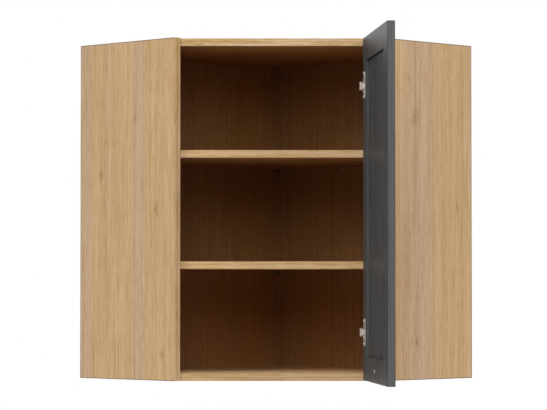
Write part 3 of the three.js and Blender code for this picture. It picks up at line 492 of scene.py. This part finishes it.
# The bottom panel's inner face takes more light than the others inside, so its film is painted paler and
# yellower: painted light.
painted_light_bottom_film = oak_film("painted_light_oak_film_level", "#E2B67C", "#D6B088", 0)
LYING = [oak_lying, shade_painted_lying, particleboard, dark_edge_chips, shaded_hole_core, painted_light_bottom_film]
FRONT = Vector((0, -1, 0))
for node, outward, inner, place in (
        ("top_panel", Vector((0, 0, 1)), INNER_FILM, (0.3, 2.1, 0.0)),
        ("bottom_panel", Vector((0, 0, -1)), PAINTED_LIGHT_FILM, (1.1, 3.4, 0.0))):
    board = worked_copy(
        node, board_sort(node, outward, inner=inner), worn=off_front(node, FRONT), fold=DARK_EDGE)
    cut_from(board, place)
    finish_piece(f"{node}_board", board, LYING, "carcass", [node])


# ---------------------------------------------------------------- back boards and hanger plates
# Two 16 mm boards close the cabinet against the walls, faced like the sides. Each carries a zinc-plated
# keyhole plate in a pocket in its wall face, which hooks over a screw in the wall.

for node, outward, place in (
        ("left_back_board", -ALONG_RIGHT_WALL, (2.9, 1.3, 0.0)),
        ("right_back_board", -ALONG_LEFT_WALL, (0.6, 4.2, 0.0))):
    board = worked_copy(node, board_sort(node, outward), fold=DARK_EDGE)
    cut_from(board, place)
    finish_piece(f"{node}_sheet", board, STANDING, "carcass", [node])


PLATE_CLOUDS = 140.0  # cloudy patches in a metre, 7 mm apart
DRAWN_SHAPE = (1, 1, 0.08)  # the drawing lines are upright, and 12 times as long as wide


def plated_steel(name, tint, roughness, blotch, grain, bare=1.0):
    """Plated steel: blotch is the spread of its dullness, grain the pitch of its drawing lines in metres,
    and bare the share of its sheen that the passivated skin leaves as clear metal."""
    material = new_material(name)
    tree = material.node_tree
    place = add(tree, "ShaderNodeTexCoord").outputs["Object"]
    clouds = add(tree, "ShaderNodeTexNoise", {
        "Vector": place, "Scale": PLATE_CLOUDS, "Detail": 3.0}).outputs[0]
    dull = add(tree, "ShaderNodeMapRange", {
        "Value": clouds, "From Min": 0.3, "From Max": 0.7,
        "To Min": roughness - blotch, "To Max": roughness + blotch}).outputs[0]
    drawn = add(tree, "ShaderNodeVectorMath", {0: place, 1: DRAWN_SHAPE}, operation="MULTIPLY").outputs[0]
    lines = add(tree, "ShaderNodeTexNoise", {"Vector": drawn, "Scale": 1 / grain, "Detail": 2.0}).outputs[0]
    shade = add(tree, "ShaderNodeMapRange", {
        "Value": lines, "From Min": 0.35, "From Max": 0.65, "To Min": 0.9, "To Max": 1.0}).outputs[0]
    plating = add(tree, "ShaderNodeVectorMath", {
        0: linear(tint)[:3], "Scale": shade}, operation="SCALE").outputs[0]
    scratches = add(tree, "ShaderNodeBump", {
        "Height": lines, "Strength": 0.12, "Distance": 0.00005}).outputs[0]
    metal = add(tree, "ShaderNodeBsdfPrincipled", {
        "Base Color": plating, "Metallic": bare, "Roughness": dull, "Normal": scratches}).outputs[0]
    add(tree, "ShaderNodeOutputMaterial", {"Surface": metal})
    return material


# Bright zinc plate is bluish grey and slightly cloudy; nickel plate is warmer, paler and a little smoother.
zinc_plate = plated_steel("bright_zinc_plated_steel", "#95999B", 0.45, 0.08, 0.0012, 0.8)
nickel_plate = plated_steel("satin_nickel_plated_steel", "#C6BEBA", 0.38, 0.06, 0.0009, 0.55)
PUNCHED_ARRIS = 0.0003
for node in ("left_hanger_plate", "right_hanger_plate"):
    plate = worked_copy(node, arris=PUNCHED_ARRIS)
    finish_piece(f"{node}_pressed", plate, [zinc_plate], "carcass", [node])


# ---------------------------------------------------------------- edging
# Strips of 1 mm plastic edging, glued to the boards' front edges by machine. Their print matches the film,
# and their long front edges are rounded by the trimming knife, so they catch a thin light.

EDGING_ROUND = 0.0007
# The same oak printed on plastic, a little greyer and glossier than the film. The strip over the door has
# the strongest streaks; the strips over and under the door are darker: painted shade, deepest under it.
edging_standing = oak_film("oak_edging_upright", "#C5A276", "#BDA083", 2, roughness=0.48, contrast=1.3)
edging_lying = oak_film("oak_edging_level", "#C4A277", "#BEA080", 0, roughness=0.48, contrast=1.3)
edging_top = oak_film("oak_edging_over_door", "#BDA07A", "#B19474", 0, roughness=0.48, contrast=1.8)
shaded_edging_bottom = oak_film("shade_painted_oak_edging_under_door", "#B8986A", "#B29470", 0, roughness=0.48, contrast=1.3)
STRIPS = {  # the way each strip faces, and its print
    "left_side_edging": (ALONG_RIGHT_WALL, edging_standing),
    "right_side_edging": (ALONG_LEFT_WALL, edging_standing),
    "top_edging": (FRONT, edging_top),
    "bottom_edging": (FRONT, shaded_edging_bottom),
    "lower_shelf_edging": (FRONT, edging_lying),
    "upper_shelf_edging": (FRONT, edging_lying),
}
for step, (node, (forward, finish)) in enumerate(STRIPS.items()):
    strip = worked_copy(node, arris=EDGING_ROUND, segments=4, worn=on_front(node, forward))
    cut_from(strip, (0.7 * step, 0.31 * step, 0.19 * step))
    finish_piece(f"{node}_strip", strip, [finish], "carcass", [node])


# ---------------------------------------------------------------- shelves and shelf pins
# Two loose five-sided boards, edged in front. Each lies on five nickel-plated pins, pushed into 5 mm holes
# in the side panels and in the right back board.

SHELF = [shade_painted_lying, particleboard]  # one film with painted shade on both faces, and the bare core
for node, place in (("lower_shelf", (2.2, 0.9, 0.0)), ("upper_shelf", (3.3, 1.9, 0.0))):
    board = worked_copy(
        node, board_sort(node, Vector((0, 0, 1)), inner=0, core=1, drilled=1), worn=off_front(node, FRONT))
    cut_from(board, place)
    finish_piece(f"{node}_board", board, SHELF, "carcass", [node])


def lathe_tree(name, sizes, rows, material, segments, recess=None):
    """A tree that turns one piece on a lathe and sets a copy on each point of the mesh that it is given,
    along the point's "points_to". sizes are its named inputs in metres. Each row is a height and a radius,
    as sums of shares of those inputs. recess is a cross recess's span, width, depth and middle height, each
    a sum of shares too."""
    tree = bpy.data.node_groups.new(name, "GeometryNodeTree")
    tree.interface.new_socket("Geometry", in_out="INPUT", socket_type="NodeSocketGeometry")
    for label, size in sizes.items():
        socket = tree.interface.new_socket(label, in_out="INPUT", socket_type="NodeSocketFloat")
        socket.default_value = size
    seed = tree.interface.new_socket("Seed", in_out="INPUT", socket_type="NodeSocketInt")
    seed.default_value = 7
    tree.interface.new_socket("Geometry", in_out="OUTPUT", socket_type="NodeSocketGeometry")
    given = add(tree, "NodeGroupInput").outputs

    def total(shares):
        """The sum of the named inputs, each times its share."""
        value = 0.0
        for label, share in shares.items():
            value = add(tree, "ShaderNodeMath", {
                0: given[label], 1: share, 2: value}, operation="MULTIPLY_ADD").outputs[0]
        return value

    station = add(tree, "GeometryNodeInputIndex").outputs[0]
    picked = []  # each station's height, then its radius
    for column in (0, 1):
        switch = add(tree, "GeometryNodeIndexSwitch", {"Index": station}, data_type="FLOAT")
        while len(switch.index_switch_items) < len(rows):
            switch.index_switch_items.new()
        for number, row in enumerate(rows):
            value = total(row[column])
            if isinstance(value, bpy.types.NodeSocket):
                tree.links.new(value, switch.inputs[number + 1])
            else:
                switch.inputs[number + 1].default_value = value
        picked.append(switch.outputs[0])
    height = add(tree, "ShaderNodeCombineXYZ", {"Z": picked[0]}).outputs[0]
    stations = add(tree, "GeometryNodeMeshLine", {"Count": len(rows)}).outputs[0]
    stations = add(tree, "GeometryNodeSetPosition", {"Geometry": stations, "Position": height}).outputs[0]
    axis = add(tree, "GeometryNodeMeshToCurve", {"Mesh": stations}).outputs[0]
    ring = add(tree, "GeometryNodeCurvePrimitiveCircle", {"Resolution": segments, "Radius": 1.0}).outputs[0]
    body = add(tree, "GeometryNodeCurveToMesh", {
        "Curve": axis, "Profile Curve": ring, "Scale": picked[1], "Fill Caps": True}).outputs[0]
    if recess:
        span, width, depth, middle = (total(part) for part in recess)
        wings = []
        for turned in (False, True):
            size = add(tree, "ShaderNodeCombineXYZ", {
                "X": width if turned else span, "Y": span if turned else width, "Z": depth}).outputs[0]
            wing = add(tree, "GeometryNodeMeshCube", {"Size": size}).outputs[0]
            lift = add(tree, "ShaderNodeCombineXYZ", {"Z": middle}).outputs[0]
            wing = add(tree, "GeometryNodeTransform", {"Geometry": wing, "Translation": lift}).outputs[0]
            wings.append(wing)
        cut = add(tree, "GeometryNodeMeshBoolean", {"Mesh 1": body}, operation="DIFFERENCE", solver="EXACT")
        for wing in wings:
            tree.links.new(wing, cut.inputs["Mesh 2"])
        body = cut.outputs[0]
    aim = add(tree, "GeometryNodeInputNamedAttribute", {
        "Name": "points_to"}, data_type="FLOAT_VECTOR").outputs[0]
    turn = add(tree, "FunctionNodeAlignRotationToVector", {"Vector": aim}, axis="Z").outputs[0]
    chance = add(tree, "FunctionNodeRandomValue", {
        2: 0.0, 3: math.tau, "Seed": given["Seed"]}, data_type="FLOAT").outputs[1]
    spin = add(tree, "FunctionNodeAxisAngleToRotation", {"Axis": (0, 0, 1), "Angle": chance}).outputs[0]
    turn = add(tree, "FunctionNodeRotateRotation", {0: turn, 1: spin}, rotation_space="LOCAL").outputs[0]
    copies = add(tree, "GeometryNodeInstanceOnPoints", {
        "Points": given["Geometry"], "Instance": body, "Rotation": turn}).outputs[0]
    real = add(tree, "GeometryNodeRealizeInstances", {"Geometry": copies}).outputs[0]
    finished = add(tree, "GeometryNodeSetMaterial", {"Geometry": real, "Material": material}).outputs[0]
    add(tree, "NodeGroupOutput", {0: finished})
    return tree


TURNED_WELD = 0.000001
TURNED_SHARP = math.radians(35)  # a turned piece looks round where its facets meet at less than this


def set_pieces(name, tree, seats, body, nodes, sizes=None):
    """Runs a lathe tree on the seats, pairs of place and direction, and keeps the result as one piece."""
    carrier_mesh = bpy.data.meshes.new(name)
    carrier_mesh.from_pydata([spot for spot, _ in seats], [], [])
    aims = carrier_mesh.attributes.new("points_to", "FLOAT_VECTOR", "POINT")
    aims.data.foreach_set("vector", [value for _, aim in seats for value in aim])
    carrier = bpy.data.objects.new(name, carrier_mesh)
    scene.collection.objects.link(carrier)
    modifier = carrier.modifiers.new("lathe", "NODES")
    modifier.node_group = tree
    for item in tree.interface.items_tree:
        if item.in_out == "INPUT" and sizes and item.name in sizes:
            modifier[item.identifier] = sizes[item.name]
    made = bpy.data.meshes.new_from_object(carrier.evaluated_get(bpy.context.evaluated_depsgraph_get()))
    carrier.modifiers.remove(modifier)
    carrier.data = made
    form = bmesh.new()
    form.from_mesh(made)
    bmesh.ops.remove_doubles(form, verts=form.verts, dist=TURNED_WELD)
    bmesh.ops.recalc_face_normals(form, faces=form.faces)
    form.to_mesh(made)
    form.free()
    made.shade_smooth()
    made.set_sharp_from_angle(angle=TURNED_SHARP)
    made.name = name
    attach(carrier, body)
    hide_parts(*nodes)


def seat(node, aim, from_start):
    """Where a turned piece sits: on its CAD node's axis, from_start metres from the end it starts at."""
    points = [vertex.co for vertex in frame["nodes"][node].data.vertices]
    place = aim * (min(point.dot(aim) for point in points) + from_start)
    for across in (Vector((0, 0, 1)), aim.cross(Vector((0, 0, 1)))):
        reach = [point.dot(across) for point in points]
        place += across * (min(reach) + max(reach)) / 2
    return place, aim


# "Depth" is in the board and "Reach" out of it. "Line" is the rise of the head's underside to its rim.
PIN = {"Shaft diameter": 0.005, "Head diameter": 0.007, "Depth": 0.008, "Reach": 0.008, "Line": 0.00002}
PIN_ROWS = [
    ({"Depth": -1}, {"Shaft diameter": 0.4}),
    ({"Depth": -0.94}, {"Shaft diameter": 0.5}),
    ({"Depth": 0.04}, {"Shaft diameter": 0.5}),
    ({"Depth": 0.04, "Line": 1}, {"Head diameter": 0.47}),
    ({"Depth": 0.08}, {"Head diameter": 0.5}),
    ({"Reach": 0.84}, {"Head diameter": 0.5}),
    ({"Reach": 0.93}, {"Head diameter": 0.46}),
    ({"Reach": 0.98}, {"Head diameter": 0.4}),
    ({"Reach": 1}, {"Head diameter": 0.3}),
]
# Burnished nickel plate: browner than the hinges' plate, and dull.
dark_nickel = plated_steel("burnished_nickel_plated_steel", "#94877A", 0.5, 0.06, 0.0009)
pin_tree = lathe_tree("turned_shelf_pins", PIN, PIN_ROWS, dark_nickel, 24)
PIN_AIMS = {"left": -ALONG_LEFT_WALL, "right": -ALONG_RIGHT_WALL, "back": ALONG_LEFT_WALL}
pin_nodes = [name for name in frame["nodes"] if "_shelf_pin_" in name]
pin_seats = [seat(name, PIN_AIMS[name.split("_")[3]], PIN["Depth"]) for name in pin_nodes]
set_pieces("shelf_pins", pin_tree, pin_seats, "carcass", pin_nodes)


# ---------------------------------------------------------------- hinge arms and mounting plates
# Concealed steel hinges, nickel plated. The plate is screwed to the side panel, the folded arm is hooked
# over the plate, and a riveted pin through the arm's ears carries the outer link.

METAL_ARRIS = 0.00035
METAL_FOLD = 0.0009  # outside radius of folded steel
# The arms, links and screws have a duller plate than the cups: a warm grey with a soft, broad shine.
dull_nickel = plated_steel("dull_nickel_plated_steel", "#B5ABA4", 0.42, 0.06, 0.0009, 0.5)
for level in ("lower", "upper"):
    arm = worked_copy(f"{level}_hinge_arm", arris=METAL_FOLD, segments=3)
    finish_piece(
        f"{level}_hinge_arm_folded", arm, [dull_nickel], "carcass", [f"{level}_hinge_arm"])
    plate = worked_copy(f"{level}_hinge_mounting_plate", arris=METAL_ARRIS)
    finish_piece(
        f"{level}_hinge_plate", plate, [nickel_plate], "carcass",
        [f"{level}_hinge_mounting_plate"])
    pin = frame["nodes"][f"{level}_hinge_pivot_pin"]
    pin.data.materials.clear()
    pin.data.materials.append(nickel_plate)

# From the top of the head to the point, with the head's underside at nought.
SCREW_ROWS = [
    ({"Head height": -1}, {"Head diameter": 0.28}),
    ({"Head height": -0.98}, {"Head diameter": 0.36}),
    ({"Head height": -0.8}, {"Head diameter": 0.43}),
    ({"Head height": -0.45}, {"Head diameter": 0.485}),
    ({"Head height": -0.1}, {"Head diameter": 0.5}),
    ({"Head height": -0.01}, {"Head diameter": 0.49}),
    ({"Length": 0.002}, {"Shank diameter": 0.5}),
    ({"Length": 1, "Shank diameter": -0.5}, {"Shank diameter": 0.5}),
    ({"Length": 1}, {"Shank diameter": 0.12}),
]
SCREW_RECESS = [
    {"Head diameter": 0.6}, {"Head diameter": 0.14}, {"Head height": 1.2}, {"Head height": -1.05}]
SIDE_SCREW = {"Shank diameter": 0.005, "Head diameter": 0.008, "Head height": 0.002, "Length": 0.0141}
screw_tree = lathe_tree(
    "cross_recess_screws", SIDE_SCREW, SCREW_ROWS, dull_nickel, 24, recess=SCREW_RECESS)
side_screw_nodes = [name for name in frame["nodes"] if "_hinge_plate_screw_" in name]
side_screw_seats = [seat(name, ALONG_RIGHT_WALL, SIDE_SCREW["Head height"]) for name in side_screw_nodes]
set_pieces("hinge_plate_screws", screw_tree, side_screw_seats, "carcass", side_screw_nodes)


# ---------------------------------------------------------------- door
# A frame of two stiles and two rails round a thin centre panel, all of fibreboard wrapped in graphite film.
# Rails and panel are held by tongues in the frame's grooves. The film is satin, with a faint upright print.

# Satin graphite film: dark and even, with faint upright lines, and a grey shine where it is seen aslant.
GRAPHITE_LINE = 0.0016  # the print's lines are 0.2 mm wide, drawn 1.6 mm wide so that they show
GRAPHITE_SHAPE = (1, 1, 0.012)  # they are upright, and about 80 times as long as wide
GLOSS_CLOUDS = 7.0  # slow changes of gloss in a metre
PEEL = 900.0  # dimples of the film's orange peel in a metre, 1.1 mm apart
graphite = new_material("satin_graphite_film")
tree = graphite.node_tree
place = add(tree, "ShaderNodeTexCoord").outputs["Object"]
drawn = add(tree, "ShaderNodeVectorMath", {0: place, 1: GRAPHITE_SHAPE}, operation="MULTIPLY").outputs[0]
lines = add(tree, "ShaderNodeTexNoise", {
    "Vector": drawn, "Scale": 1 / GRAPHITE_LINE, "Detail": 2.5, "Roughness": 0.6}).outputs[0]
wide_lines = add(tree, "ShaderNodeTexNoise", {
    "Vector": drawn, "Scale": 0.12 / GRAPHITE_LINE, "Detail": 2.0, "Roughness": 0.6}).outputs[0]
clouds = add(tree, "ShaderNodeTexNoise", {
    "Vector": place, "Scale": GLOSS_CLOUDS, "Detail": 3.0}).outputs[0]
print_share = add(tree, "ShaderNodeMath", {
    0: wide_lines, 1: 0.8, 2: lines}, operation="MULTIPLY_ADD").outputs[0]
print_share = add(tree, "ShaderNodeMapRange", {
    "Value": print_share, "From Min": 0.66, "From Max": 1.14}).outputs[0]
film_colour = add(tree, "ShaderNodeMix", {
    "Factor": print_share, FIRST_COLOUR: linear("#494A4A"), SECOND_COLOUR: linear("#5A5958")},
    data_type="RGBA").outputs[MIXED_COLOUR]
gloss = add(tree, "ShaderNodeMath", {0: lines, 1: 0.5, 2: clouds}, operation="MULTIPLY_ADD").outputs[0]
satin = add(tree, "ShaderNodeMapRange", {
    "Value": gloss, "From Min": 0.45, "From Max": 1.05, "To Min": 0.24, "To Max": 0.36}).outputs[0]
peel = add(tree, "ShaderNodeTexNoise", {"Vector": place, "Scale": PEEL, "Detail": 1.0}).outputs[0]
skin = add(tree, "ShaderNodeMath", {0: peel, 1: 0.4, 2: lines}, operation="MULTIPLY_ADD").outputs[0]
film_relief = add(tree, "ShaderNodeBump", {
    "Height": skin, "Strength": 0.06, "Distance": 0.0001}).outputs[0]
matt = add(tree, "ShaderNodeBsdfPrincipled", {
    "Base Color": film_colour, "Roughness": 0.8, "Specular IOR Level": 0.0,
    "Normal": film_relief}).outputs[0]
shine = add(tree, "ShaderNodeBsdfGlossy", {"Roughness": satin, "Normal": film_relief}).outputs[0]
slant = add(tree, "ShaderNodeLayerWeight", {"Blend": 0.5}).outputs["Facing"]
shine_share = add(tree, "ShaderNodeMapRange", {
    "Value": slant, "From Max": 0.9, "To Min": 0.015, "To Max": 0.092}).outputs[0]
film = add(tree, "ShaderNodeMixShader", {0: shine_share, 1: matt, 2: shine}).outputs[0]
add(tree, "ShaderNodeOutputMaterial", {"Surface": film})
# The same film made nearly black: painted shade on the faces that point down, and a dark line along the
# leaf's outer edges.
graphite_shade_and_rims = graphite.copy()
graphite_shade_and_rims.name = "graphite_film_painted_shade_and_dark_rims"
for mix in graphite_shade_and_rims.node_tree.nodes:
    if mix.type == "MIX":
        mix.inputs[FIRST_COLOUR].default_value = linear("#262627")
        mix.inputs[SECOND_COLOUR].default_value = linear("#2E2E2F")
FILM_FOLD = 0.001  # the wrapped edges' radius
leaf = [
    vertex.co for side in ("hinge", "free")
    for vertex in frame["nodes"][f"door_{side}_stile"].data.vertices]
to_free_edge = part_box("door_free_stile")[1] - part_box("door_hinge_stile")[1]
LEAF_BOX = [  # the ways across and up the leaf, and where it starts and ends along each
    (way, min(corner.dot(way) for corner in leaf), max(corner.dot(way) for corner in leaf))
    for way in (Vector(to_free_edge).normalized(), Vector((0, 0, 1)))]


def in_dark_film(face):
    """The dark film goes along the leaf's outer edges, and on faces that point down, as under the top rail's
    step, where it is painted shade.
    """
    middle = face.calc_center_median()
    return face.normal.z < -0.5 or any(
        min(middle.dot(way) - low, high - middle.dot(way)) < FILM_FOLD for way, low, high in LEAF_BOX)


for member in ("hinge_stile", "free_stile", "top_rail", "bottom_rail", "centre_panel"):
    node = f"door_{member}"
    # Faces that point down take the dark film: painted shade.
    part = worked_copy(
        node, lambda face: int(face.normal.z < -0.5), arris=FILM_FOLD, segments=3, fold=1, where=in_dark_film)
    finish_piece(f"{node}_wrapped", part, [graphite, graphite_shade_and_rims], "door", [node])


# ---------------------------------------------------------------- knob
# A turned zinc casting with matt black powder paint, low on the door's outer face. A zinc-plated screw from
# the inner face holds it.

hinge = next(joint for joint in frame["joints"] if joint["name"] == "door_hinge")
opened = math.radians(-hinge["range_deg"][0])
DOOR_OUTWARD = Matrix.Rotation(opened, 3, "Z") @ Vector((0, -1, 0))  # from the inner face to the outer one
KNOB = {"Radius": 0.013, "Projection": 0.023}
KNOB_PROFILE = [  # height and radius, as shares of those two sizes
    (0.0, 0.5), (0.015, 0.55), (0.06, 0.55), (0.1, 0.49), (0.16, 0.42), (0.25, 0.375), (0.36, 0.38),
    (0.46, 0.48), (0.56, 0.69), (0.64, 0.86), (0.7, 0.95), (0.76, 0.99), (0.81, 1.0), (0.86, 0.99),
    (0.91, 0.93), (0.955, 0.8), (0.985, 0.6), (1.0, 0.3)]
KNOB_ROWS = [({"Projection": height}, {"Radius": radius}) for height, radius in KNOB_PROFILE]
# Matt black powder paint, baked on: nearly black, with fine dimples that break up its shine.
GRIT = 0.0008  # the dimples are 0.3 mm wide, drawn 0.8 mm wide
black_paint = new_material("matt_black_powder_paint")
tree = black_paint.node_tree
place = add(tree, "ShaderNodeTexCoord").outputs["Object"]
dimples = add(tree, "ShaderNodeTexNoise", {"Vector": place, "Scale": 1 / GRIT, "Detail": 2.0}).outputs[0]
paint_tone = add(tree, "ShaderNodeMapRange", {
    "Value": dimples, "From Min": 0.3, "From Max": 0.7}).outputs[0]
paint_colour = add(tree, "ShaderNodeMix", {
    "Factor": paint_tone, FIRST_COLOUR: linear("#1B1B1D"), SECOND_COLOUR: linear("#262628")},
    data_type="RGBA").outputs[MIXED_COLOUR]
dimpled = add(tree, "ShaderNodeBump", {
    "Height": dimples, "Strength": 0.35, "Distance": 0.00015}).outputs[0]
powder = add(tree, "ShaderNodeBsdfPrincipled", {
    "Base Color": paint_colour, "Roughness": 0.48, "Normal": dimpled}).outputs[0]
add(tree, "ShaderNodeOutputMaterial", {"Surface": powder})
knob_tree = lathe_tree("turned_knob", KNOB, KNOB_ROWS, black_paint, 64)
set_pieces("knob_painted", knob_tree, [seat("knob", DOOR_OUTWARD, 0.0)], "door", ["knob"])

KNOB_SCREW = {"Shank diameter": 0.004, "Head diameter": 0.008, "Head height": 0.002, "Length": 0.0236}
knob_screw_tree = lathe_tree(
    "knob_cross_recess_screw", KNOB_SCREW, SCREW_ROWS, zinc_plate, 24, recess=SCREW_RECESS)
knob_screw_seat = seat("knob_screw", DOOR_OUTWARD, KNOB_SCREW["Head height"])
set_pieces("knob_fixing_screw", knob_screw_tree, [knob_screw_seat], "door", ["knob_screw"])


# ---------------------------------------------------------------- hinge cups and links
# The pressed cup is let into the hinge stile and held by two chipboard screws through its wings. The outer
# link, a bowed steel strip with a rolled eye at each end, joins the arm's pin to the axle across the cup.

LINK_ARRIS = 0.00025
LINK_END = 0.003  # half the height of the link's outer end as built
LINK_END_PRESSED = 0.0055  # and as pressed, nearly as high as its root
for level in ("lower", "upper"):
    cup = worked_copy(f"{level}_hinge_cup", arris=METAL_ARRIS)
    finish_piece(
        f"{level}_hinge_cup_pressed", cup, [nickel_plate], "door", [f"{level}_hinge_cup"])
    link = worked_copy(f"{level}_hinge_link", arris=LINK_ARRIS)
    middle = sum(corner[2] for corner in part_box(f"{level}_hinge_link")) / 2
    for vertex in link.vertices:
        if abs(vertex.co.z - middle) < LINK_END + SAME_PLACE:
            vertex.co.z = middle + (vertex.co.z - middle) * LINK_END_PRESSED / LINK_END
    finish_piece(
        f"{level}_hinge_link_rolled", link, [dull_nickel], f"{level}_link",
        [f"{level}_hinge_link"])
CUP_SCREW = {"Shank diameter": 0.0035, "Head diameter": 0.007, "Head height": 0.0016, "Length": 0.0128}
cup_screw_nodes = [name for name in frame["nodes"] if "_hinge_cup_screw_" in name]
cup_screw_seats = [seat(name, DOOR_OUTWARD, CUP_SCREW["Head height"]) for name in cup_screw_nodes]
set_pieces("hinge_cup_screws", screw_tree, cup_screw_seats, "door", cup_screw_nodes, CUP_SCREW)
